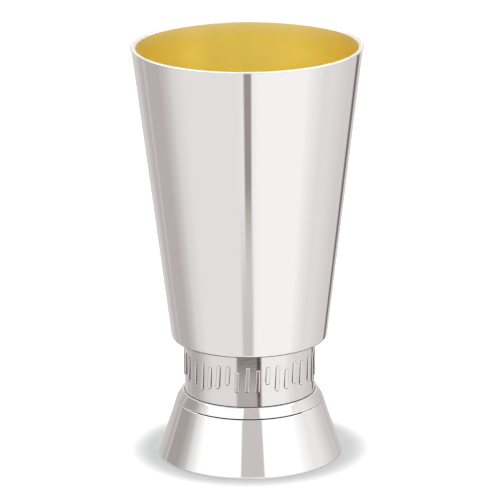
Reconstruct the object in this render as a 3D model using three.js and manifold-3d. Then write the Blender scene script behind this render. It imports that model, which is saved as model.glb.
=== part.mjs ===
import * as THREE from 'three';
import { mergeVertices } from 'three/addons/utils/BufferGeometryUtils.js';
import Module from 'manifold-3d';

// A polished silver kiddush cup: conical bowl, neck band with raised strokes, flared collar and hollow
// foot, all turned about one upright axis. Lengths are millimetres and the foot stands on z = 0.

// Whole cup
const HEIGHT = 130;
const WALL = 1;
const ROUND_SEGMENTS = 72;
const FILLET_STEPS = 3;

// Bowl: straight cone, thickened lip with a small bead outside, rounded lower edge, rising underside
const BOWL_BASE_Z = 37.4;
const BOWL_FLOOR = 1.2;
const BOWL_CONE_RADIUS = 24.14;
const BOWL_CONE_SLOPE = 0.122;
const BOWL_EDGE_FILLET = 1.1;
const BOWL_INSIDE_FILLET = 2;
const BOWL_UNDERSIDE_RISE = 0.04;
const LIP_BEAD_HEIGHT = 0.36;
const LIP_BEAD_REACH = 0.36;
const LIP_BEAD_STEPS = 4;
const LIP_WALL = 1.35;
const LIP_TAPER = 6;
const LIP_INSIDE_ROUND = 0.5;

// Neck band: upright tube carrying the strokes
const NECK_RADIUS = 20.3;
const NECK_BASE_Z = 20.5;

// Collar: flared ring with a rounded lower edge that stands proud of the joint under it
const COLLAR_BASE_Z = 17.4;
const COLLAR_TOP_RADIUS = 21.2;
const COLLAR_LOW_RADIUS = 22.95;
const COLLAR_EDGE_FILLET = 0.15;
const JOINT_RADIUS = 22.2;
const JOINT_GAP = 0.15;

// Foot: hollow flared cone with an edge turned inward to stand on
const FOOT_TOP_RADIUS = 22.95;
const FOOT_LOW_RADIUS = 28.75;
const FOOT_EDGE_FILLET = 0.5;
const FOOT_LAND_WIDTH = 2.8;
const FOOT_LAND_THICKNESS = 0.9;
const FOOT_DECK = 1.2;
const FOOT_BORE_RADIUS = 19.1;

// Raised strokes, in a group that repeats round the band. Each stands so many degrees from the front of
// its group, runs from low to high in millimetres from the middle of the rows, and leans to the right.
const STROKE_ROWS_Z = 29.4;
const STROKE_RELIEF = 0.25;
const STROKE_WIDTH = 1.4;
const STROKE_ROOT = 0.4;
const STROKE_END_STEPS = 3;
const STROKE_REPEATS = 3;
const STROKE_GROUP = [
  { turn: -56, low: -3.4, high: 3, lean: 0.4 },
  { turn: -46.5, low: -4.6, high: 3.4, lean: 0.4 },
  { turn: -37.5, low: -3.4, high: 2.2, lean: 0.3 },
  { turn: -28.5, low: -2.9, high: 3.2, lean: 0.4 },
  { turn: -19.5, low: -1.4, high: 3.3, lean: 0.3 },
  { turn: -11, low: -3.5, high: 1.8, lean: 0.3 },
  { turn: -2, low: -3.3, high: 3.3, lean: 0.4 },
  { turn: 7, low: -3.5, high: 2.4, lean: 0.3 },
  { turn: 16, low: -1.1, high: 3.2, lean: 0.3 },
  { turn: 25, low: -3.5, high: 3.2, lean: 0.4 },
  { turn: 34, low: -3.3, high: 1.6, lean: 0.3 },
  { turn: 43, low: -2.4, high: 3.3, lean: 0.4 },
  { turn: 52, low: -3.4, high: 3, lean: 0.4 },
];

const SILVER = 0xd3d0cc;
const GILT_LINED_SILVER = 0xd6d3cf;
const DEGREE = Math.PI / 180;

const wasm = await Module();
wasm.setup();

// Points of an arc in the (radius, z) plane, angles in radians from the +radius direction
function arc(centre, radius, from, to, steps) {
  const points = [];
  for (let i = 0; i <= steps; i += 1) {
    const angle = from + ((to - from) * i) / steps;
    points.push([centre[0] + radius * Math.cos(angle), centre[1] + radius * Math.sin(angle)]);
  }
  return points;
}

// The corner at b of the path a-b-c, rounded to the given radius
function rounded(a, b, c, radius) {
  const corner = new THREE.Vector2(...b);
  const back = new THREE.Vector2(...a).sub(corner).normalize();
  const ahead = new THREE.Vector2(...c).sub(corner).normalize();
  const half = Math.acos(back.dot(ahead)) / 2;
  const middle = back.clone().add(ahead).normalize();
  const centre = corner.clone().addScaledVector(middle, radius / Math.sin(half));
  const start = corner.clone().addScaledVector(back, radius / Math.tan(half)).sub(centre).angle();
  const end = corner.clone().addScaledVector(ahead, radius / Math.tan(half)).sub(centre).angle();
  const sweep = ((end - start + 3 * Math.PI) % (2 * Math.PI)) - Math.PI;
  return arc([centre.x, centre.y], radius, start, start + sweep, FILLET_STEPS);
}

// A closed solid of revolution about +Z from a profile that runs up its outer side
function turned(profile) {
  const points = profile.map(([radius, z]) => new THREE.Vector2(radius, z));
  const geometry = new THREE.LatheGeometry(points, ROUND_SEGMENTS);
  geometry.rotateX(Math.PI / 2);
  geometry.deleteAttribute('normal');
  geometry.deleteAttribute('uv');
  return mergeVertices(geometry);
}

function bowlConeRadius(z) {
  return BOWL_CONE_RADIUS + BOWL_CONE_SLOPE * (z - BOWL_BASE_Z);
}

// The lip from the outside of the wall round to the inside: half-round bead, flat top, rounded inner corner
function lipProfile() {
  const beadRadius = LIP_BEAD_HEIGHT / 2;
  const baseZ = HEIGHT - LIP_BEAD_HEIGHT;
  const wall = bowlConeRadius(baseZ);
  const beadCentre = [wall + LIP_BEAD_REACH - beadRadius, baseZ + beadRadius];
  const insideCentre = [wall - LIP_WALL + LIP_INSIDE_ROUND, HEIGHT - LIP_INSIDE_ROUND];
  const taperZ = HEIGHT - LIP_TAPER;
  return [
    [wall, baseZ],
    ...arc(beadCentre, beadRadius, -90 * DEGREE, 90 * DEGREE, LIP_BEAD_STEPS),
    ...arc(insideCentre, LIP_INSIDE_ROUND, 90 * DEGREE, 180 * DEGREE, FILLET_STEPS),
    [bowlConeRadius(taperZ) - WALL, taperZ],
  ];
}

function bowlProfile() {
  const floorZ = BOWL_BASE_Z + BOWL_FLOOR;
  const overhang = bowlConeRadius(BOWL_BASE_Z) - NECK_RADIUS;
  const edgeZ = BOWL_BASE_Z + BOWL_UNDERSIDE_RISE * overhang;
  const edge = [bowlConeRadius(edgeZ), edgeZ];
  const wallFoot = [NECK_RADIUS, BOWL_BASE_Z];
  const insideCorner = [bowlConeRadius(floorZ) - WALL, floorZ];
  const insideTop = [bowlConeRadius(HEIGHT) - WALL, HEIGHT];
  return [
    [0, BOWL_BASE_Z],
    wallFoot,
    ...rounded(wallFoot, edge, [bowlConeRadius(HEIGHT), HEIGHT], BOWL_EDGE_FILLET),
    ...lipProfile(),
    ...rounded(insideTop, insideCorner, [0, floorZ], BOWL_INSIDE_FILLET),
    [0, floorZ],
  ];
}

function collarProfile() {
  const edge = [COLLAR_LOW_RADIUS, COLLAR_BASE_Z + JOINT_GAP];
  const top = [COLLAR_TOP_RADIUS, NECK_BASE_Z];
  const shoulder = [JOINT_RADIUS, COLLAR_BASE_Z + JOINT_GAP];
  return [
    [FOOT_BORE_RADIUS, COLLAR_BASE_Z],
    [JOINT_RADIUS, COLLAR_BASE_Z],
    shoulder,
    ...rounded(shoulder, edge, top, COLLAR_EDGE_FILLET),
    top,
    [FOOT_BORE_RADIUS, NECK_BASE_Z],
    [FOOT_BORE_RADIUS, COLLAR_BASE_Z],
  ];
}

function footProfile() {
  const slope = (FOOT_LOW_RADIUS - FOOT_TOP_RADIUS) / COLLAR_BASE_Z;
  const across = WALL * Math.hypot(1, slope);
  const shoulderZ = COLLAR_BASE_Z - JOINT_GAP;
  const deckZ = COLLAR_BASE_Z - FOOT_DECK;
  const lowEdge = [FOOT_LOW_RADIUS, 0];
  const landInside = FOOT_LOW_RADIUS - FOOT_LAND_WIDTH;
  const insideLow = [landInside, 0];
  const insideAt = (z) => [FOOT_LOW_RADIUS - across - slope * z, z];
  const shoulder = [FOOT_LOW_RADIUS - slope * shoulderZ, shoulderZ];
  const ledge = [JOINT_RADIUS, shoulderZ];
  return [
    insideLow,
    ...rounded(insideLow, lowEdge, shoulder, FOOT_EDGE_FILLET),
    ...rounded(lowEdge, shoulder, ledge, COLLAR_EDGE_FILLET),
    ledge,
    [JOINT_RADIUS, COLLAR_BASE_Z],
    [FOOT_BORE_RADIUS, COLLAR_BASE_Z],
    [FOOT_BORE_RADIUS, deckZ],
    insideAt(deckZ),
    insideAt(FOOT_LAND_THICKNESS),
    [landInside, FOOT_LAND_THICKNESS],
    insideLow,
  ];
}

function neckProfile() {
  const bore = NECK_RADIUS - WALL;
  return [
    [bore, NECK_BASE_Z],
    [NECK_RADIUS, NECK_BASE_Z],
    [NECK_RADIUS, BOWL_BASE_Z],
    [bore, BOWL_BASE_Z],
    [bore, NECK_BASE_Z],
  ];
}

// Outline of one stroke in the unrolled band: a straight bar with round ends
function strokeOutline({ low, high, lean }) {
  const heading = Math.atan2(high - low, lean);
  const side = 90 * DEGREE;
  return [
    ...arc([-lean / 2, low], STROKE_WIDTH / 2, heading + side, heading + 3 * side, STROKE_END_STEPS),
    ...arc([lean / 2, high], STROKE_WIDTH / 2, heading - side, heading + side, STROKE_END_STEPS),
  ];
}

// One stroke as a solid wrapped on the band, from inside the wall to the height of the relief
function strokeSolid(stroke, groupTurn) {
  const outline = strokeOutline(stroke);
  const inner = NECK_RADIUS - STROKE_ROOT;
  const outer = NECK_RADIUS + STROKE_RELIEF;
  const count = outline.length;
  const positions = [];
  for (const radius of [inner, outer]) {
    for (const [u, v] of outline) {
      const angle = (groupTurn + stroke.turn) * DEGREE + u / NECK_RADIUS;
      positions.push(radius * Math.sin(angle), -radius * Math.cos(angle), STROKE_ROWS_Z + v);
    }
  }
  const triangles = [];
  const flat = outline.map(([u, v]) => new THREE.Vector2(u, v));
  for (const [a, b, c] of THREE.ShapeUtils.triangulateShape(flat, [])) {
    triangles.push(a, c, b);
    triangles.push(count + a, count + b, count + c);
  }
  for (let i = 0; i < count; i += 1) {
    const next = (i + 1) % count;
    triangles.push(i, next, count + next);
    triangles.push(i, count + next, count + i);
  }
  return new wasm.Manifold(meshOf(positions, triangles));
}

function meshOf(positions, triangles) {
  return new wasm.Mesh({
    numProp: 3,
    vertProperties: new Float32Array(positions),
    triVerts: new Uint32Array(triangles),
  });
}

function neckGeometry() {
  const tube = turned(neckProfile());
  let solid = new wasm.Manifold(meshOf(tube.attributes.position.array, tube.index.array));
  for (let repeat = 0; repeat < STROKE_REPEATS; repeat += 1) {
    const groupTurn = (repeat * 360) / STROKE_REPEATS;
    for (const stroke of STROKE_GROUP) {
      solid = solid.add(strokeSolid(stroke, groupTurn));
    }
  }
  const mesh = solid.getMesh();
  const geometry = new THREE.BufferGeometry();
  geometry.setAttribute('position', new THREE.BufferAttribute(new Float32Array(mesh.vertProperties), 3));
  geometry.setIndex(new THREE.BufferAttribute(new Uint32Array(mesh.triVerts), 1));
  return geometry;
}

function piece(name, geometry, color, roughness) {
  const material = new THREE.MeshStandardMaterial({ color, roughness, metalness: 1 });
  material.name = name;
  const mesh = new THREE.Mesh(geometry, material);
  mesh.name = name;
  return mesh;
}

const cup = new THREE.Group();
cup.name = 'kiddush_cup';
cup.add(piece('bowl', turned(bowlProfile()), GILT_LINED_SILVER, 0.1));
cup.add(piece('neck_band', neckGeometry(), SILVER, 0.2));
cup.add(piece('collar', turned(collarProfile()), SILVER, 0.1));
cup.add(piece('foot', turned(footProfile()), SILVER, 0.1));

export default cup;
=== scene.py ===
import math
from collections import namedtuple

import bpy
from mathutils import Matrix, Vector


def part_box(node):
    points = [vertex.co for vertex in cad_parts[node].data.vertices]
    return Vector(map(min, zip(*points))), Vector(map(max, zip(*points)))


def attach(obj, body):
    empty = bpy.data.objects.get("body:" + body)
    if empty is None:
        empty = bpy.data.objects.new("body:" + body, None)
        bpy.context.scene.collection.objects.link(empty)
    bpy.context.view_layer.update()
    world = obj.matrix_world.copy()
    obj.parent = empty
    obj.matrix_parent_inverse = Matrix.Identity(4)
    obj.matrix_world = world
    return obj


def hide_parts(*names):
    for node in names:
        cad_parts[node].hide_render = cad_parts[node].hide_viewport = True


bl_info = {
    "name": "Kiddush Cup",
    "version": (1, 0, 0),
    "blender": (4, 5, 0),
    "location": "View3D > Sidebar > Cup",
    "description": "Builds a polished silver kiddush cup, gilt inside, with a band of raised strokes",
    "category": "Object",
}

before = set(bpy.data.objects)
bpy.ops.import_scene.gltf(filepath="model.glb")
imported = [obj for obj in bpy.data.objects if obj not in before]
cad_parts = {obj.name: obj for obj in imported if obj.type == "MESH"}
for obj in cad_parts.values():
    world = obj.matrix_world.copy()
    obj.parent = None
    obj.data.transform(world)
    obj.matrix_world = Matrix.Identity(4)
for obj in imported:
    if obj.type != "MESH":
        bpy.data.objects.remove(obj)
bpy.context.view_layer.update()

MM = 0.001
BODY = "root"
BOWL_LOW, BOWL_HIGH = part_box("bowl")
NECK_LOW, NECK_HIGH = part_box("neck_band")
COLLAR_LOW, COLLAR_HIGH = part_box("collar")
FOOT_LOW, FOOT_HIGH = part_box("foot")

# Steps round the axis: enough for a mirror finish to reflect without facets
ROUND_STEPS = 288
NECK_ROUND_STEPS = 360
SMOOTH_ANGLE = math.radians(38)

# Raised strokes of the neck band, repeated round it. Each stands so many degrees from the front of its
# group, runs from its low end to its high end, in millimetres from the middle of the row, and leans that
# far aside.
STROKE_REPEATS = 3
STROKE_GROUP = (
    (-56.0, -3.4, 3.0, 0.4), (-46.5, -4.6, 3.4, 0.4), (-37.5, -3.4, 2.2, 0.3), (-28.5, -2.9, 3.2, 0.4),
    (-19.5, -1.4, 3.3, 0.3), (-11.0, -3.5, 1.8, 0.3), (-2.0, -3.3, 3.3, 0.4), (7.0, -3.5, 2.4, 0.3),
    (16.0, -1.1, 3.2, 0.3), (25.0, -3.5, 3.2, 0.4), (34.0, -3.3, 1.6, 0.3), (43.0, -2.4, 3.3, 0.4),
    (52.0, -3.4, 3.0, 0.4),
)
STROKE_END_POINTS = 16

# Span of a noise texture's values that a pattern is stretched over
NOISE_SPAN = (0.3, 0.7)

# The gilding thins out as this power of the way still to go to its full thickness
GILT_THINNING = 2.2

# A corner rounded over its whole edge needs a hair of that edge left over
NEARLY_ALL = 0.999

# Points closer than this are merged, and a point this close to a corner is that corner
WELD = MM * 0.001
AT_CORNER = MM * 0.002

# Margins of the tests that choose the faces of a paint: from a level, from the neck band's ground, from
# the edge of a hidden side and from the groove's outer corner
AT_LEVEL = MM * 0.01
AT_GROUND = MM * 0.02
AT_HIDDEN = MM * 0.1
AT_GROOVE = MM * 0.2

# Limits of a face's normal in those tests. Upright it runs from -1, straight down, to 1, straight up.
# Outward, 1 is straight away from the axis.
GILT_ABOVE = -0.5
# The next two limits pick the down-facing lower edge of the bowl, which is painted nearly black as painted
# shade
PAINTED_SHADE_ABOVE = -0.98
PAINTED_SHADE_BELOW = -0.6
# Slopes of the strokes that face down past this limit are painted dark as painted shade
SHADED_BELOW = -0.35
SLOPE_BELOW = 0.9

# Share of the crevice's height up to which every face beside a stroke is dull
CREVICE_SHARE = 0.95


def linear_light(level):
    """Linear light of an sRGB level from 0 to 255; a level over 255 is brighter than white."""
    share = level / 255
    return share / 12.92 if share <= 0.04045 else ((share + 0.055) / 1.055) ** 2.4


def hex_to_linear(code):
    """Linear red, green, blue and alpha of an sRGB hex colour."""
    return (*[linear_light(int(code[i:i + 2], 16)) for i in (1, 3, 5)], 1.0)


def length(name, description, millimetres):
    """A length property whose default is given in millimetres."""
    return bpy.props.FloatProperty(
        name=name, description=description, default=millimetres * MM, unit="LENGTH", precision=5)


def colour(name, description, code):
    """A colour property whose default is an sRGB hex value."""
    return bpy.props.FloatVectorProperty(
        name=name, description=description, default=hex_to_linear(code),
        size=4, subtype="COLOR", min=0, max=1)


def factor(name, description, value):
    """A share from 0 to 1."""
    return bpy.props.FloatProperty(
        name=name, description=description, default=value, subtype="FACTOR", min=0, max=1)


class CupSizes(bpy.types.PropertyGroup):
    wall: length("Wall", "Thickness of the spun silver wall", 1.0)
    bowl_floor: length("Bowl floor", "Thickness of the bowl's floor", 1.2)
    bowl_cone_radius: length("Bowl cone radius", "Radius of the bowl's cone at its lowest level", 24.14)
    bowl_slope: bpy.props.FloatProperty(
        name="Bowl slope", description="Gain in radius for each unit of height", default=0.122)
    bowl_edge: length("Bowl edge", "Rounding of the bowl's lower edge", 1.1)
    bowl_inside_edge: length("Inside edge", "Rounding between the bowl's wall and floor inside", 2.0)
    underside_rise: bpy.props.FloatProperty(
        name="Underside rise", description="Rise of the bowl's underside for each unit outward", default=0.04)
    lip_height: length("Lip height", "Height of the half-round bead outside the lip", 0.36)
    lip_reach: length("Lip reach", "How far that bead stands out from the wall", 0.36)
    lip_wall: length("Lip wall", "Thickness of the wall at the lip", 1.35)
    lip_taper: length("Lip taper", "Height over which the wall thickens to the lip", 6.0)
    neck_radius: length("Neck radius", "Radius of the neck band's ground", 20.3)
    neck_waist: length("Neck waist", "How far the neck band draws in half-way up", 0.1)
    seam_rise: length("Seam rise", "Height of the tarnished seam at the foot of the neck band", 0.22)
    seam_width: length("Seam width", "Width of that seam on the collar", 0.15)
    row_height: length("Row height", "Height of the middle of the row of strokes", 29.4)
    stroke_relief: length("Stroke relief", "Height of the strokes above the ground", 0.25)
    stroke_width: length("Stroke width", "Width of a stroke where it meets the ground", 1.5)
    stroke_slope: length("Stroke slope", "Width of the slope along a stroke's edge", 0.2)
    stroke_tilt: bpy.props.FloatProperty(
        name="Stroke tilt", description="How far the strokes' faces tip upward",
        default=math.radians(1.0), unit="ROTATION")
    stroke_foot: length("Stroke foot", "Width and height of the dulled crevice round a stroke", 0.1)
    stroke_root: length("Stroke root", "How far a stroke reaches into the wall", 0.4)
    collar_top: length("Collar top radius", "Radius of the collar where it meets the neck", 21.2)
    collar_low: length("Collar low radius", "Radius of the collar's sharp lower corner", 22.95)
    collar_edge: length("Collar edge", "Rounding of the collar's lower edge", 0.15)
    collar_top_edge: length("Collar top edge", "Rounding of the collar's upper edge", 0.04)
    joint_radius: length("Joint radius", "Radius of the joint between collar and foot", 22.2)
    joint_gap: length("Joint gap", "Height of each half of the groove at that joint", 0.15)
    foot_low: length("Foot low radius", "Radius of the foot's sharp lower corner", 28.75)
    foot_top: length("Foot top radius", "Radius of the foot's cone at the joint", 22.95)
    foot_edge: length("Foot edge", "Rounding of the foot's lower edge", 0.5)
    foot_waist: length("Foot waist", "How far the foot's side draws in half-way up", 0.1)
    foot_land: length("Foot land", "Width of the turned-in edge that the cup stands on", 2.8)
    foot_land_thickness: length("Foot land thickness", "Thickness of that edge", 0.9)
    foot_deck: length("Foot deck", "Thickness of the foot's top under the collar", 1.2)
    foot_bore: length("Foot bore", "Radius of the opening through collar and foot", 19.1)


class CupFinishes(bpy.types.PropertyGroup):
    silver: colour("Silver", "Polished silver", "#FBFAFA")
    band: colour("Band silver", "Finely brushed ground of the neck band", "#F6F3F3")
    gilt: colour("Gilt", "Gold wash inside the bowl", "#FFEC8E")
    spun: colour("Spun silver", "Unpolished silver of the hidden sides", "#D9D5CF")
    # Whitish satin of the ledge round the neck, and the painted highlight at the two sides of the groove
    # under the collar
    whitish_film_and_painted_highlight: colour("Wiped silver", "Whitish film in the groove beside the tarnish", "#EFEDEB")
    # Colour of the tarnished seams and crevices, also used as painted shade in the groove under the collar,
    # on the bowl's down-facing edge and on the strokes' down-facing slopes
    tarnish_and_painted_shade: colour("Tarnish", "Dark silver in the solder lines", "#141210")
    # Grey of the dulled crevices at the strokes' foot, also used as painted shade on their down-facing slopes
    crevice: colour("Crevice", "Silver dulled along the foot of the strokes", "#8A8480")
    polish: factor("Polish roughness", "Roughness of the mirror-polished silver", 0.03)
    gilt_roughness: factor("Gilt roughness", "Roughness of the gilding", 0.16)
    satin_roughness: factor("Satin roughness", "Roughness of the satin share of the gilding", 0.5)
    satin_share: factor("Satin share", "Share of the gilding that scatters light softly", 0.6)
    band_roughness: factor("Band roughness", "Roughness of the band's ground", 0.08)
    gilt_start: length("Gilt start", "Way from the outer edge of the lip that stays bare silver", 0.3)
    gilt_fade: length("Gilt fade", "Way from the outer edge of the lip over which the gilding thickens", 8.0)
    # Half width, across the cup, of the painted shade in the groove; farther out to the sides the groove gets
    # painted highlight
    painted_shade_reach: length("Joint reach", "How far to each side tarnish fills the groove under the collar", 16.4)


class StageSettings(bpy.types.PropertyGroup):
    floor: colour("Floor", "Pale studio table", "#F4F4F4")
    sky: bpy.props.FloatProperty(name="Sky", description="Strength of the all-round white light", default=0.7)
    lamp: bpy.props.FloatProperty(
        name="Lamp", description="Power of the overhead soft light", default=73.0, unit="POWER")
    tent_radius: length("Tent radius", "Distance of what the silver mirrors", 100000)
    lamp_size: length("Lamp size", "Width of the overhead soft light", 270)
    lamp_ahead: length("Lamp place", "Place of the overhead soft light along Y", -45)
    lamp_height: length("Lamp height", "Height of the overhead soft light", 3000)


# ---- small tools -------------------------------------------------------------------------------------------

def deselect():
    """Leaves nothing selected and no object in edit mode."""
    if bpy.context.object and bpy.context.object.mode != "OBJECT":
        bpy.ops.object.mode_set(mode="OBJECT")
    bpy.ops.object.select_all(action="DESELECT")


def make_active(piece):
    """Selects one object alone and makes it the active one."""
    deselect()
    piece.select_set(True)
    bpy.context.view_layer.objects.active = piece


def select_points(piece, chosen):
    """Selects the vertices for which chosen(position) is true and returns to edit mode."""
    bpy.ops.object.mode_set(mode="EDIT")
    bpy.ops.mesh.select_mode(type="VERT")
    bpy.ops.mesh.select_all(action="DESELECT")
    bpy.ops.object.mode_set(mode="OBJECT")
    for vertex in piece.data.vertices:
        vertex.select = chosen(vertex.co)
    bpy.ops.object.mode_set(mode="EDIT")


def side_steps(start, end, steps, waist=0.0):
    """Points from start to end of a side that draws in by waist half-way, without the last one."""
    points = []
    for i in range(steps):
        share = i / steps
        radius = start[0] + (end[0] - start[0]) * share - 4 * waist * share * (1 - share)
        points.append((radius, start[1] + (end[1] - start[1]) * share, 0))
    return points


def turned_piece(name, profile, segments, steps=ROUND_STEPS):
    """Draws a profile of (radius, z, rounding), rounds its corners and spins it about the axis."""
    deselect()
    bpy.ops.mesh.primitive_plane_add(size=MM)
    piece = bpy.context.object
    piece.name = name
    piece.data.name = name
    bpy.ops.object.mode_set(mode="EDIT")
    bpy.ops.mesh.select_mode(type="VERT")
    bpy.ops.mesh.merge(type="CENTER")
    here = Vector((profile[0][0], 0, profile[0][1]))
    bpy.ops.transform.translate(value=here)
    for radius, z, _ in profile[1:]:
        there = Vector((radius, 0, z))
        bpy.ops.mesh.extrude_region_move(TRANSFORM_OT_translate={"value": there - here})
        here = there
    for radius, z, rounding in profile:
        if rounding:
            corner = Vector((radius, 0, z))
            select_points(piece, lambda co: (co - corner).length < AT_CORNER)
            bpy.ops.mesh.bevel(offset=rounding, segments=segments, affect="VERTICES", clamp_overlap=True)
    bpy.ops.mesh.select_all(action="SELECT")
    bpy.ops.mesh.spin(steps=steps, angle=2 * math.pi, use_auto_merge=True, center=(0, 0, 0), axis=(0, 0, 1))
    bpy.ops.mesh.select_all(action="SELECT")
    bpy.ops.mesh.remove_doubles(threshold=WELD)
    bpy.ops.mesh.normals_make_consistent(inside=False)
    bpy.ops.object.mode_set(mode="OBJECT")
    return piece


def finish_piece(piece, slot, *nodes):
    """Smooth shading that keeps flat faces flat, and the piece's place in the frame."""
    make_active(piece)
    bpy.ops.object.shade_smooth_by_angle(angle=SMOOTH_ANGLE)
    weighted = piece.modifiers.new("Weighted normals", "WEIGHTED_NORMAL")
    weighted.keep_sharp = True
    bpy.ops.object.modifier_apply(modifier=weighted.name)
    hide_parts(*nodes)
    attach(piece, BODY)


def paint_faces(piece, material, chosen):
    """Gives the faces for which chosen(centre, normal) is true a material of their own."""
    piece.data.materials.append(material)
    index = len(piece.data.materials) - 1
    for face in piece.data.polygons:
        if chosen(face.center, face.normal):
            face.material_index = index


def reach_of(centre):
    """How far a face's centre is from the axis."""
    return math.hypot(centre.x, centre.y)


def rounding_length(radius, before, corner, after):
    """How far from a corner an arc of that radius starts."""
    back = (Vector(before) - Vector(corner)).normalized()
    ahead = (Vector(after) - Vector(corner)).normalized()
    return radius / math.tan(back.angle(ahead) / 2)


def node(tree, kind, values=None, **settings):
    """Adds a node. values maps an input's name or number to a value or to the socket that feeds it."""
    made = tree.nodes.new(kind)
    for name, setting in settings.items():
        setattr(made, name, setting)
    for key, value in (values or {}).items():
        if isinstance(value, bpy.types.NodeSocket):
            tree.links.new(value, made.inputs[key])
        else:
            made.inputs[key].default_value = value
    return made


def new_material(name):
    """An empty material and its node tree."""
    material = bpy.data.materials.new(name)
    material.use_nodes = True
    material.node_tree.nodes.clear()
    return material, material.node_tree


def close_material(tree, shader):
    """Adds the output that a material's last shader goes to."""
    node(tree, "ShaderNodeOutputMaterial", {"Surface": shader.outputs[0]})


# ---- materials ---------------------------------------------------------------------------------------------

# The materials made so far, by their maker's name
MADE = {}


def material_of(maker):
    """The material a function makes, made once and then shared."""
    name = maker.__name__
    if name not in MADE:
        MADE[name] = maker()
    return MADE[name]


def varied(tree, noise, low, high):
    """A number that a noise texture varies from low to high."""
    spread = node(tree, "ShaderNodeMapRange", {
        "Value": noise.outputs["Fac"], "From Min": NOISE_SPAN[0], "From Max": NOISE_SPAN[1],
        "To Min": low, "To Max": high})
    return spread.outputs[0]


def turning_lines(tree, position, spacing, height):
    """Bump of fine rings left by spinning and buffing, spacing and height in metres."""
    parts = node(tree, "ShaderNodeSeparateXYZ", {0: position})
    along = node(tree, "ShaderNodeCombineXYZ", {"Z": parts.outputs["Z"]})
    rings = node(tree, "ShaderNodeTexNoise", {
        "Vector": along.outputs[0], "Scale": 1 / spacing, "Detail": 3.0})
    return node(tree, "ShaderNodeBump", {
        "Height": rings.outputs["Fac"], "Distance": height, "Strength": 1.0})


def polished_silver():
    """Sterling silver, spun and buffed to a mirror: clear reflections, a faint haze in patches."""
    finishes = bpy.context.scene.cup_finishes
    material, tree = new_material("Polished sterling silver")
    place = node(tree, "ShaderNodeTexCoord").outputs["Object"]
    haze = node(tree, "ShaderNodeTexNoise", {"Vector": place, "Scale": 1 / (14 * MM), "Detail": 4.0})
    roughness = varied(tree, haze, finishes.polish * 0.7, finishes.polish * 1.4)
    rings = turning_lines(tree, place, 0.8 * MM, 0.0006 * MM)
    shader = node(tree, "ShaderNodeBsdfPrincipled", {
        "Base Color": finishes.silver, "Metallic": 1.0,
        "Roughness": roughness, "Normal": rings.outputs[0]})
    close_material(tree, shader)
    return material


def gilt_inside():
    """Gold wash over silver: satin and even, thinning out to bare silver towards the rim."""
    finishes = bpy.context.scene.cup_finishes
    material, tree = new_material("Gold wash over silver")
    place = node(tree, "ShaderNodeTexCoord").outputs["Object"]
    parts = node(tree, "ShaderNodeSeparateXYZ", {0: place})
    level = node(tree, "ShaderNodeCombineXYZ", {0: parts.outputs["X"], 1: parts.outputs["Y"]})
    reach = node(tree, "ShaderNodeVectorMath", {0: level.outputs[0]}, operation="LENGTH")
    below = node(tree, "ShaderNodeMath", {0: BOWL_HIGH.z, 1: parts.outputs["Z"]}, operation="SUBTRACT")
    within = node(tree, "ShaderNodeMath", {0: BOWL_HIGH.x, 1: reach.outputs["Value"]}, operation="SUBTRACT")
    way = node(tree, "ShaderNodeMath", {0: below.outputs[0], 1: within.outputs[0]}, operation="ADD")
    depth = node(tree, "ShaderNodeMapRange", {
        "Value": way.outputs[0], "From Min": finishes.gilt_start, "From Max": finishes.gilt_fade,
        "To Min": 1.0, "To Max": 0.0})
    thin = node(tree, "ShaderNodeMath", {0: depth.outputs[0], 1: GILT_THINNING}, operation="POWER")
    tint = node(tree, "ShaderNodeMix", {
        "Factor": thin.outputs[0], "A": finishes.gilt, "B": finishes.silver}, data_type="RGBA")
    haze = node(tree, "ShaderNodeTexNoise", {"Vector": place, "Scale": 1 / (6 * MM), "Detail": 4.0})
    roughness = varied(tree, haze, finishes.gilt_roughness * 0.85, finishes.gilt_roughness * 1.15)
    bright = node(tree, "ShaderNodeBsdfPrincipled", {
        "Base Color": tint.outputs["Result"], "Metallic": 1.0, "Roughness": roughness})
    satin = node(tree, "ShaderNodeBsdfPrincipled", {
        "Base Color": tint.outputs["Result"], "Metallic": 1.0, "Roughness": finishes.satin_roughness})
    shader = node(tree, "ShaderNodeMixShader", {
        0: finishes.satin_share, 1: bright.outputs[0], 2: satin.outputs[0]})
    close_material(tree, shader)
    return material


def brushed_band():
    """Silver brushed lightly round the neck: clear reflections broken by hair-fine scratches."""
    finishes = bpy.context.scene.cup_finishes
    material, tree = new_material("Finely brushed silver")
    place = node(tree, "ShaderNodeTexCoord").outputs["Object"]
    stretch = node(tree, "ShaderNodeMapping", {"Vector": place, "Scale": (1 / 2.4, 1 / 2.4, 1 / 0.3)})
    grain = node(tree, "ShaderNodeTexNoise", {"Vector": stretch.outputs[0], "Scale": 1 / MM, "Detail": 3.0})
    bump = node(tree, "ShaderNodeBump", {
        "Height": grain.outputs["Fac"], "Distance": 0.007 * MM, "Strength": 1.0})
    roughness = varied(tree, grain, finishes.band_roughness * 0.7, finishes.band_roughness * 1.3)
    shader = node(tree, "ShaderNodeBsdfPrincipled", {
        "Base Color": finishes.band, "Metallic": 1.0,
        "Roughness": roughness, "Normal": bump.outputs[0]})
    close_material(tree, shader)
    return material


def crevice_tarnish_and_painted_shade():
    """Silver gone grey where the polishing cloth doesn't reach, beside the strokes, and painted shade on the
    strokes' down-facing slopes.
    """
    finishes = bpy.context.scene.cup_finishes
    material, tree = new_material("Dulled silver of the crevices and painted shade")
    place = node(tree, "ShaderNodeTexCoord").outputs["Object"]
    patch = node(tree, "ShaderNodeTexNoise", {"Vector": place, "Scale": 1 / (1.5 * MM), "Detail": 3.0})
    tint = node(tree, "ShaderNodeMix", {
        "Factor": patch.outputs["Fac"], "A": finishes.tarnish_and_painted_shade, "B": finishes.crevice}, data_type="RGBA")
    shader = node(tree, "ShaderNodeBsdfPrincipled", {
        "Base Color": tint.outputs["Result"], "Metallic": 0.4, "Roughness": 0.4})
    close_material(tree, shader)
    return material


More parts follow.
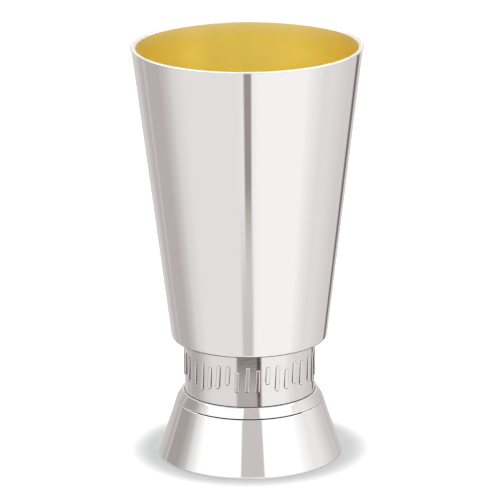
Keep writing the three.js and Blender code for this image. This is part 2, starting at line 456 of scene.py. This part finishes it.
def spun_silver():
    """Silver left as spun on the hidden sides: satin, with turning rings half a millimetre apart."""
    finishes = bpy.context.scene.cup_finishes
    material, tree = new_material("As-spun silver")
    place = node(tree, "ShaderNodeTexCoord").outputs["Object"]
    reach = node(tree, "ShaderNodeVectorMath", {0: place}, operation="LENGTH")
    along = node(tree, "ShaderNodeCombineXYZ", {"X": reach.outputs["Value"]})
    rings = node(tree, "ShaderNodeTexNoise", {
        "Vector": along.outputs[0], "Scale": 1 / (0.5 * MM), "Detail": 3.0})
    bump = node(tree, "ShaderNodeBump", {
        "Height": rings.outputs["Fac"], "Distance": 0.01 * MM, "Strength": 1.0})
    roughness = varied(tree, rings, 0.3, 0.42)
    shader = node(tree, "ShaderNodeBsdfPrincipled", {
        "Base Color": finishes.spun, "Metallic": 1.0,
        "Roughness": roughness, "Normal": bump.outputs[0]})
    close_material(tree, shader)
    return material


def tarnish_and_shade_shader(tree, place):
    """Dull, uneven and nearly black: tarnished silver, also used as painted shade."""
    finishes = bpy.context.scene.cup_finishes
    patch = node(tree, "ShaderNodeTexNoise", {"Vector": place, "Scale": 1 / (2 * MM), "Detail": 3.0})
    roughness = varied(tree, patch, 0.45, 0.7)
    return node(tree, "ShaderNodeBsdfPrincipled", {
        "Base Color": finishes.tarnish_and_painted_shade, "Metallic": 0.2, "Roughness": roughness})


def groove_painted_shade_and_highlight():
    """The solder joint in the groove: painted shade, nearly black, in front and behind, and a painted
    highlight, whitish, at the two sides.
    """
    finishes = bpy.context.scene.cup_finishes
    material, tree = new_material("Groove with painted shade and painted highlight")
    place = node(tree, "ShaderNodeTexCoord").outputs["Object"]
    dark = tarnish_and_shade_shader(tree, place)
    painted_highlight_film = node(tree, "ShaderNodeBsdfPrincipled", {"Base Color": finishes.whitish_film_and_painted_highlight, "Roughness": 0.6})
    parts = node(tree, "ShaderNodeSeparateXYZ", {0: place})
    aside = node(tree, "ShaderNodeMath", {0: parts.outputs["X"]}, operation="ABSOLUTE")
    whitish_film_and_painted_highlight = node(tree, "ShaderNodeMapRange", {
        "Value": aside.outputs[0],
        "From Min": finishes.painted_shade_reach - 0.8 * MM, "From Max": finishes.painted_shade_reach,
        "To Min": 0.0, "To Max": 1.0})
    shader = node(tree, "ShaderNodeMixShader", {
        0: whitish_film_and_painted_highlight.outputs[0], 1: dark.outputs[0], 2: painted_highlight_film.outputs[0]})
    close_material(tree, shader)
    return material


def wiped_ledge():
    """Satin silver of the narrow ledge round the neck, whitish where the cloth doesn't reach."""
    finishes = bpy.context.scene.cup_finishes
    material, tree = new_material("Satin silver ledge")
    shader = node(tree, "ShaderNodeBsdfPrincipled", {
        "Base Color": finishes.whitish_film_and_painted_highlight, "Metallic": 0.25, "Roughness": 0.55})
    close_material(tree, shader)
    return material


def seam_tarnish_and_painted_shade():
    """Thin tarnished line where the neck band stands on the collar, and painted shade on the bowl's
    down-facing lower edge.
    """
    material, tree = new_material("Tarnished seam and painted shade")
    place = node(tree, "ShaderNodeTexCoord").outputs["Object"]
    close_material(tree, tarnish_and_shade_shader(tree, place))
    return material


# ---- pieces ------------------------------------------------------------------------------------------------

def cone_radius(sizes, z):
    """Outer radius of the bowl's cone at a height."""
    return sizes.bowl_cone_radius + sizes.bowl_slope * (z - BOWL_LOW.z)


class CUP_OT_bowl(bpy.types.Operator):
    """Turns the conical bowl with its beaded lip, rounded lower edge and gilt inside"""
    bl_idname = "cup.bowl"
    bl_label = "Bowl"

    def execute(self, context):
        sizes = context.scene.cup_sizes
        wall_steps = 24
        floor_z = BOWL_LOW.z + sizes.bowl_floor
        edge_z = BOWL_LOW.z + sizes.underside_rise * (sizes.bowl_cone_radius - sizes.neck_radius)
        lip_z = BOWL_HIGH.z - sizes.lip_height
        lip = cone_radius(sizes, lip_z)
        edge = (cone_radius(sizes, edge_z), edge_z)
        inside_low = (cone_radius(sizes, floor_z) - sizes.wall, floor_z)
        taper_z = BOWL_HIGH.z - sizes.lip_taper
        inside_taper = (cone_radius(sizes, taper_z) - sizes.wall, taper_z)
        inside_top = (lip - sizes.lip_wall, BOWL_HIGH.z)
        rounding = rounding_length(sizes.bowl_edge, (sizes.neck_radius, BOWL_LOW.z), edge, (lip, lip_z))
        inside_rounding = rounding_length(sizes.bowl_inside_edge, (0, floor_z), inside_low, inside_taper)
        bead = sizes.lip_height / 2 * NEARLY_ALL
        profile = [
            (0, BOWL_LOW.z, 0),
            (sizes.neck_radius, BOWL_LOW.z, 0),
            (*edge, rounding),
            *side_steps(edge, (lip, lip_z), wall_steps)[1:],
            (lip, lip_z, 0),
            (lip + sizes.lip_reach, lip_z, bead),
            (lip + sizes.lip_reach, BOWL_HIGH.z, bead),
            (*inside_top, sizes.wall / 2),
            *side_steps(inside_taper, inside_low, wall_steps),
            (*inside_low, inside_rounding),
            (0, floor_z, 0),
        ]
        bowl = turned_piece("bowl_polished", profile, segments=8)
        bowl.data.materials.append(material_of(polished_silver))

        def is_inside(centre, normal):
            reach = reach_of(centre)
            if centre.z > lip_z:
                return reach < lip and normal.z > GILT_ABOVE
            middle_of_wall = cone_radius(sizes, centre.z) - sizes.wall / 2
            return centre.z > floor_z - sizes.bowl_floor / 2 and reach < middle_of_wall

        paint_faces(bowl, material_of(gilt_inside), is_inside)
        neck_inside = sizes.neck_radius - sizes.wall
        paint_faces(bowl, material_of(spun_silver),
                    lambda centre, normal: centre.z < BOWL_LOW.z + AT_LEVEL
                    and reach_of(centre) < neck_inside)
        # Painted shade: the down-facing part of the bowl's lower edge rounding is painted nearly black
        paint_faces(bowl, material_of(seam_tarnish_and_painted_shade),
                    lambda centre, normal: centre.z < edge_z + sizes.bowl_edge
                    and PAINTED_SHADE_ABOVE < normal.z < PAINTED_SHADE_BELOW
                    and reach_of(centre) > sizes.neck_radius)
        finish_piece(bowl, "bowl_silver", "bowl")
        return {"FINISHED"}


def stroke_bar(sizes, stroke):
    """One raised stroke: a bar with round ends and sloping edges, stood on the band at its place."""
    turn, low, high, lean = stroke
    rise = (high - low) * MM
    aside = lean * MM
    deselect()
    bpy.ops.mesh.primitive_circle_add(
        vertices=STROKE_END_POINTS, radius=sizes.stroke_width / 2, fill_type="NGON")
    bar = bpy.context.object
    select_points(bar, lambda co: co.y > WELD)
    bpy.ops.transform.translate(value=(0, math.hypot(rise, aside), 0))
    bpy.ops.mesh.select_mode(type="FACE")
    bpy.ops.mesh.select_all(action="SELECT")
    bpy.ops.mesh.extrude_region_move(TRANSFORM_OT_translate={"value": (0, 0, sizes.stroke_root)})
    bpy.ops.mesh.inset(thickness=sizes.stroke_foot, depth=sizes.stroke_foot)
    bpy.ops.mesh.inset(thickness=sizes.stroke_slope, depth=sizes.stroke_relief - sizes.stroke_foot)
    bpy.ops.mesh.select_all(action="SELECT")
    bpy.ops.mesh.normals_make_consistent(inside=False)
    bpy.ops.object.mode_set(mode="OBJECT")
    bar.matrix_world = (
        Matrix.Rotation(math.radians(turn), 4, "Z")
        @ Matrix.Translation((
            0, sizes.stroke_root - sizes.neck_radius, sizes.row_height + (low + high) / 2 * MM))
        @ Matrix.Rotation(math.pi / 2 - sizes.stroke_tilt, 4, "X")
        @ Matrix.Rotation(-math.atan2(aside, rise), 4, "Z")
        @ Matrix.Translation((0, -math.hypot(rise, aside) / 2, 0))
    )
    bpy.ops.object.transform_apply(location=True, rotation=True, scale=True)
    return bar


class CUP_OT_neck_band(bpy.types.Operator):
    """Builds the neck band with its row of raised strokes"""
    bl_idname = "cup.neck_band"
    bl_label = "Neck band"

    def execute(self, context):
        sizes = context.scene.cup_sizes
        bore = sizes.neck_radius - sizes.wall
        waist_steps = 10
        low = (sizes.neck_radius, NECK_LOW.z)
        high = (sizes.neck_radius, NECK_HIGH.z)
        profile = [
            (bore, NECK_LOW.z, 0),
            (*low, 0),
            (sizes.neck_radius, NECK_LOW.z + sizes.seam_rise, 0),
            *side_steps(low, high, waist_steps, sizes.neck_waist)[1:],
            (*high, 0),
            (bore, NECK_HIGH.z, 0),
            (bore, NECK_LOW.z, 0),
        ]
        band = turned_piece("neck_band_raised", profile, segments=2, steps=NECK_ROUND_STEPS)
        band.data.materials.append(material_of(brushed_band))
        bars = []
        for repeat in range(STROKE_REPEATS):
            for turn, *stroke in STROKE_GROUP:
                bars.append(stroke_bar(sizes, (turn + repeat * 360 / STROKE_REPEATS, *stroke)))
        deselect()
        for bar in bars:
            bar.select_set(True)
        context.view_layer.objects.active = bars[0]
        bpy.ops.object.join()
        row = bars[0]
        row.data.materials.append(material_of(brushed_band))
        make_active(band)
        union = band.modifiers.new("Raised strokes", "BOOLEAN")
        union.operation = "UNION"
        union.solver = "EXACT"
        union.object = row
        bpy.ops.object.modifier_apply(modifier=union.name)
        bpy.data.objects.remove(row)
        ground = sizes.neck_radius - sizes.neck_waist

        def is_slope(centre, normal):
            outward = Vector((centre.x, centre.y, 0)).normalized()
            return reach_of(centre) > ground - AT_GROUND and normal.dot(outward) < SLOPE_BELOW

        # Faces of the dulled crevice at a stroke's foot, together with the stroke slopes that face down,
        # which get painted shade
        def is_crevice_or_painted_shade(centre, normal):
            beside = reach_of(centre) < sizes.neck_radius + sizes.stroke_foot * CREVICE_SHARE
            return is_slope(centre, normal) and (beside or normal.z < SHADED_BELOW)

        paint_faces(band, material_of(polished_silver), is_slope)
        paint_faces(band, material_of(crevice_tarnish_and_painted_shade), is_crevice_or_painted_shade)
        paint_faces(band, material_of(seam_tarnish_and_painted_shade),
                    lambda centre, normal: centre.z < NECK_LOW.z + sizes.seam_rise
                    and reach_of(centre) > ground - AT_GROUND)
        paint_faces(band, material_of(spun_silver),
                    lambda centre, normal: reach_of(centre) < bore + sizes.wall / 4)
        finish_piece(band, "band_silver", "neck_band")
        return {"FINISHED"}


class CUP_OT_collar(bpy.types.Operator):
    """Turns the flared collar with its rounded lower edge"""
    bl_idname = "cup.collar"
    bl_label = "Collar"

    def execute(self, context):
        sizes = context.scene.cup_sizes
        base = COLLAR_LOW.z
        side_parts = 5
        seam = sizes.neck_radius + sizes.seam_width
        edge_z = base + sizes.joint_gap
        edge = (sizes.collar_low, edge_z)
        top = (sizes.collar_top, COLLAR_HIGH.z)
        rounding = rounding_length(sizes.collar_edge, (sizes.joint_radius, edge_z), edge, top)
        profile = [
            (sizes.foot_bore, base, 0),
            (sizes.joint_radius, base, 0),
            (sizes.joint_radius, edge_z, 0),
            (*edge, rounding),
            *side_steps(edge, top, side_parts)[1:],
            (*top, sizes.collar_top_edge),
            (seam, COLLAR_HIGH.z, 0),
            (sizes.foot_bore, COLLAR_HIGH.z, 0),
            (sizes.foot_bore, base, 0),
        ]
        collar = turned_piece("collar_polished", profile, segments=6)
        collar.data.materials.append(material_of(polished_silver))
        # Painted shade and painted highlight: the collar's side of the groove is nearly black in front and
        # behind and whitish at the two sides
        paint_faces(collar, material_of(groove_painted_shade_and_highlight),
                    lambda centre, normal: centre.z < edge_z + AT_LEVEL)
        paint_faces(collar, material_of(wiped_ledge),
                    lambda centre, normal: centre.z > COLLAR_HIGH.z - AT_LEVEL and reach_of(centre) > seam)
        paint_faces(collar, material_of(seam_tarnish_and_painted_shade),
                    lambda centre, normal: centre.z > COLLAR_HIGH.z - AT_LEVEL and reach_of(centre) < seam)
        paint_faces(collar, material_of(spun_silver),
                    lambda centre, normal: reach_of(centre) < sizes.foot_bore + AT_HIDDEN)
        finish_piece(collar, "polished_silver", "collar")
        return {"FINISHED"}


class CUP_OT_foot(bpy.types.Operator):
    """Turns the hollow conical foot with its turned-in standing edge"""
    bl_idname = "cup.foot"
    bl_label = "Foot"

    def execute(self, context):
        sizes = context.scene.cup_sizes
        top_z = FOOT_HIGH.z
        side_parts = 16
        slope = (sizes.foot_low - sizes.foot_top) / top_z
        across = sizes.wall * math.hypot(1, slope)
        shoulder_z = top_z - sizes.joint_gap
        deck_z = top_z - sizes.foot_deck
        low = (sizes.foot_low, FOOT_LOW.z)
        shoulder = (sizes.foot_low - slope * shoulder_z, shoulder_z)
        land = sizes.foot_low - sizes.foot_land

        def inside(z):
            return (sizes.foot_low - across - slope * z, z, 0)

        profile = [
            (land, FOOT_LOW.z, 0),
            (*low, rounding_length(sizes.foot_edge, (land, FOOT_LOW.z), low, shoulder)),
            *side_steps(low, shoulder, side_parts, sizes.foot_waist)[1:],
            (*shoulder, rounding_length(sizes.collar_edge, low, shoulder, (sizes.joint_radius, shoulder_z))),
            (sizes.joint_radius, shoulder_z, 0),
            (sizes.joint_radius, top_z, 0),
            (sizes.foot_bore, top_z, 0),
            (sizes.foot_bore, deck_z, 0),
            inside(deck_z),
            inside(sizes.foot_land_thickness),
            (land, sizes.foot_land_thickness, 0),
            (land, FOOT_LOW.z, 0),
        ]
        foot = turned_piece("foot_polished", profile, segments=6)
        foot.data.materials.append(material_of(polished_silver))
        # Painted shade and painted highlight on the foot's side of the groove, as on the collar
        paint_faces(foot, material_of(groove_painted_shade_and_highlight),
                    lambda centre, normal: centre.z > shoulder_z - AT_LEVEL
                    and reach_of(centre) < shoulder[0] - AT_GROOVE)

        def is_inside(centre, normal):
            wall_middle = sizes.foot_low - across / 2 - slope * centre.z
            return reach_of(centre) < wall_middle and AT_HIDDEN < centre.z < top_z - sizes.foot_deck / 2

        paint_faces(foot, material_of(spun_silver), is_inside)
        finish_piece(foot, "polished_silver", "foot")
        return {"FINISHED"}


# ---- stage -------------------------------------------------------------------------------------------------

# What the silver mirrors: plain fittings round the table, each in front of those listed before it. Middle
# and half width are degrees round the axis from the front, the softness is that of the upright edges, low
# and high are degrees above the horizon, and the two sRGB levels are those below and above the edge of the
# table. A level over 255 is a softbox, brighter than white. Seen from the front, the bowl mirrors what lies
# 27 to 31 degrees below the horizon, the neck band 15 to 24 below and the foot 13 to 43 above.
Fitting = namedtuple("Fitting", "middle half_width softness low high below above")
FITTINGS = (
    Fitting(0, 180, 1, 32, 90, 335, 335),       # overhead softbox over the whole table
    Fitting(-35, 45, 25, -90, 90, 228, 262),    # left softbox
    Fitting(90, 25, 30, -90, 30, 224, 236),     # screen beside the right softbox
    Fitting(38, 38, 24, -90, 90, 246, 264),     # right softbox
    Fitting(-120, 25, 20, -90, 25, 182, 166),   # grey card on the left
    Fitting(-130, 3, 4, -90, 25, 196, 196),     # white stand before the card
    Fitting(150, 5, 4, -90, 25, 120, 130),      # dark stand on the right
    Fitting(180, 40, 20, -14, 28, 200, 200),    # back wall
    Fitting(0, 4, 2, -30, -24, 153, 153),       # gap between the softboxes, seen in the bowl
    Fitting(-2, 8, 4, -40, -30, 200, 200),      # lower end of that gap
    Fitting(-1, 22, 2, -24, -18, 128, 128),     # wider gap, seen in the neck band
    Fitting(-1, 22, 2, -18, -12, 182, 182),     # upper end of that gap
    Fitting(16, 3, 2, -24, -15, 80, 80),        # post in that gap
    Fitting(3, 15, 2, 10, 60, 200, 200),        # gap above the table, seen in the foot
)

# Levels of the room behind all of them, below and above the edge of the table
ROOM = (210, 205)

# Degrees that the table's edge lies below the horizon at the cup's sides: none in front, twice that behind
EDGE_OF_TABLE = 7.0

# Softness in degrees of the table's edge and of the fittings' level edges
RISE_SOFTNESS = 2.0

# Darker light is warmer: the powers that red, green and blue are raised to
WARMTH = (1.0, 1.08, 1.12)

# Width of the table in metres, and the steps round and up the sphere that holds the reflections
TABLE_SIZE = 12
TENT_ROUND_STEPS = 96
TENT_UP_STEPS = 48

# The camera: a long lens, in millimetres, its place in metres and the way it looks, in degrees
LENS = 282
SENSOR = 36.0
FARTHEST = 20.0
CAMERA_PLACE = (0.0004, -1.165, 0.4003)
LOOKING_DOWN = 16.05
LEANING = -0.45


def between(tree, value, low, high, softness):
    """1 where a value lies between low and high, running softly to 0 past both."""
    rise = node(tree, "ShaderNodeMapRange", {
        "Value": value, "From Min": low - softness / 2, "From Max": low + softness / 2,
        "To Min": 0.0, "To Max": 1.0})
    fall = node(tree, "ShaderNodeMapRange", {
        "Value": value, "From Min": high - softness / 2, "From Max": high + softness / 2,
        "To Min": 1.0, "To Max": 0.0})
    both = node(tree, "ShaderNodeMath", {0: rise.outputs[0], 1: fall.outputs[0]}, operation="MULTIPLY")
    return both.outputs[0]


def blend(tree, share, first, second):
    """A number that runs from the first to the second as the share grows."""
    mixed = node(tree, "ShaderNodeMix", {"Factor": share, "A": first, "B": second}, data_type="FLOAT")
    return mixed.outputs[0]


class CUP_OT_stage(bpy.types.Operator):
    """Sets the table, the reflection tent, the soft light and the camera"""
    bl_idname = "cup.stage"
    bl_label = "Stage"

    def execute(self, context):
        settings = context.scene.cup_stage
        scene = context.scene
        deselect()
        bpy.ops.mesh.primitive_plane_add(size=TABLE_SIZE, location=(0, 0, 0))
        table = context.object
        table.name = "stage_table"
        table.data.materials.append(self.table_material(settings))
        table.visible_glossy = False

        deselect()
        bpy.ops.mesh.primitive_uv_sphere_add(
            segments=TENT_ROUND_STEPS, ring_count=TENT_UP_STEPS, radius=settings.tent_radius)
        tent = context.object
        tent.name = "stage_reflection_tent"
        tent.data.materials.append(self.tent_material())
        tent.visible_camera = False
        tent.visible_diffuse = False
        tent.visible_transmission = False
        tent.visible_volume_scatter = False
        tent.visible_shadow = False

        deselect()
        bpy.ops.object.light_add(type="AREA", location=(0, settings.lamp_ahead, settings.lamp_height))
        lamp = context.object
        lamp.name = "overhead_softbox"
        lamp.data.shape = "DISK"
        lamp.data.size = settings.lamp_size
        lamp.data.energy = settings.lamp
        lamp.visible_glossy = False

        world = bpy.data.worlds.new("White studio")
        world.use_nodes = True
        world.node_tree.nodes["Background"].inputs["Color"].default_value = (1, 1, 1, 1)
        world.node_tree.nodes["Background"].inputs["Strength"].default_value = settings.sky
        scene.world = world
        scene.view_settings.view_transform = "Standard"
        scene.view_settings.look = "None"
        self.add_camera(scene)
        return {"FINISHED"}

    @staticmethod
    def table_material(settings):
        """Matt white laminate."""
        material, tree = new_material("Matt white table")
        shader = node(tree, "ShaderNodeBsdfDiffuse", {"Color": settings.floor})
        close_material(tree, shader)
        return material

    @staticmethod
    def tent_material():
        """The studio as the silver sees it: the room's grey with the fittings in front of it."""
        material, tree = new_material("Studio as reflected")
        place = node(tree, "ShaderNodeTexCoord").outputs["Object"]
        heading = node(tree, "ShaderNodeVectorMath", {0: place}, operation="NORMALIZE")
        parts = node(tree, "ShaderNodeSeparateXYZ", {0: heading.outputs[0]})
        lift = node(tree, "ShaderNodeMath", {0: parts.outputs["Z"]}, operation="ARCSINE")
        elevation = node(tree, "ShaderNodeMath", {0: lift.outputs[0]}, operation="DEGREES").outputs[0]
        forward = node(tree, "ShaderNodeMath", {0: parts.outputs["Y"], 1: -1.0}, operation="MULTIPLY")
        ahead = forward.outputs[0]
        turn = node(tree, "ShaderNodeMath", {0: parts.outputs["X"], 1: ahead}, operation="ARCTAN2")
        azimuth = node(tree, "ShaderNodeMath", {0: turn.outputs[0]}, operation="DEGREES").outputs[0]

        horizon = node(tree, "ShaderNodeMath", {0: ahead, 1: EDGE_OF_TABLE, 2: -EDGE_OF_TABLE},
                       operation="MULTIPLY_ADD")
        raised = node(tree, "ShaderNodeMath", {0: elevation, 1: horizon.outputs[0]}, operation="SUBTRACT")
        above = node(tree, "ShaderNodeMapRange", {
            "Value": raised.outputs[0], "From Min": -RISE_SOFTNESS / 2, "From Max": RISE_SOFTNESS / 2,
            "To Min": 0.0, "To Max": 1.0}).outputs[0]
        light = blend(tree, above, *[linear_light(level) for level in ROOM])
        for fitting in FITTINGS:
            offset = node(tree, "ShaderNodeMath", {0: azimuth, 1: fitting.middle}, operation="SUBTRACT")
            aside = node(tree, "ShaderNodeMath", {
                0: offset.outputs[0], 1: 180.0, 2: -180.0}, operation="WRAP").outputs[0]
            across = between(tree, aside, -fitting.half_width, fitting.half_width, fitting.softness)
            upright = between(tree, elevation, fitting.low, fitting.high, RISE_SOFTNESS)
            share = node(tree, "ShaderNodeMath", {0: across, 1: upright}, operation="MULTIPLY").outputs[0]
            level = blend(tree, above, linear_light(fitting.below), linear_light(fitting.above))
            light = blend(tree, share, light, level)
        tinted = []
        for power in WARMTH:
            tinted.append(node(tree, "ShaderNodeMath", {0: light, 1: power}, operation="POWER").outputs[0])
        colour_of_light = node(tree, "ShaderNodeCombineColor", dict(enumerate(tinted)))
        shader = node(tree, "ShaderNodeEmission", {"Color": colour_of_light.outputs[0], "Strength": 1.0})
        close_material(tree, shader)
        return material

    @staticmethod
    def add_camera(scene):
        """A long lens 1.2 metres away, looking 16 degrees down."""
        lens_data = bpy.data.cameras.new("camera")
        lens_data.lens = LENS
        lens_data.sensor_width = SENSOR
        lens_data.clip_end = FARTHEST
        camera = bpy.data.objects.new("camera", lens_data)
        scene.collection.objects.link(camera)
        pitch = math.radians(90 - LOOKING_DOWN)
        roll = math.radians(LEANING)
        camera.matrix_world = (
            Matrix.Translation(CAMERA_PLACE)
            @ Matrix.Rotation(pitch, 4, "X")
            @ Matrix.Rotation(roll, 4, "Z")
        )
        scene.camera = camera


class CUP_PT_panel(bpy.types.Panel):
    """Lists the sizes, the finishes and the steps of the cup"""
    bl_idname = "CUP_PT_panel"
    bl_label = "Kiddush Cup"
    bl_space_type = "VIEW_3D"
    bl_region_type = "UI"
    bl_category = "Cup"

    def draw(self, context):
        layout = self.layout
        for step in STEPS:
            layout.operator(step.bl_idname)
        for group in (context.scene.cup_sizes, context.scene.cup_finishes, context.scene.cup_stage):
            box = layout.box()
            for name in group.bl_rna.properties.keys():
                if name not in {"rna_type", "name"}:
                    box.prop(group, name)


STEPS = (CUP_OT_bowl, CUP_OT_neck_band, CUP_OT_collar, CUP_OT_foot, CUP_OT_stage)
GROUPS = (CupSizes, CupFinishes, StageSettings)


def register():
    """Adds the settings, the steps and the panel to Blender."""
    for kind in (*GROUPS, *STEPS, CUP_PT_panel):
        bpy.utils.register_class(kind)
    bpy.types.Scene.cup_sizes = bpy.props.PointerProperty(type=CupSizes)
    bpy.types.Scene.cup_finishes = bpy.props.PointerProperty(type=CupFinishes)
    bpy.types.Scene.cup_stage = bpy.props.PointerProperty(type=StageSettings)


def unregister():
    """Takes them away again."""
    del bpy.types.Scene.cup_stage
    del bpy.types.Scene.cup_finishes
    del bpy.types.Scene.cup_sizes
    for kind in reversed((*GROUPS, *STEPS, CUP_PT_panel)):
        bpy.utils.unregister_class(kind)


def main():
    """Builds the cup and its stage."""
    register()
    bpy.ops.cup.bowl()
    bpy.ops.cup.neck_band()
    bpy.ops.cup.collar()
    bpy.ops.cup.foot()
    bpy.ops.cup.stage()


if __name__ == "__main__":
    main()
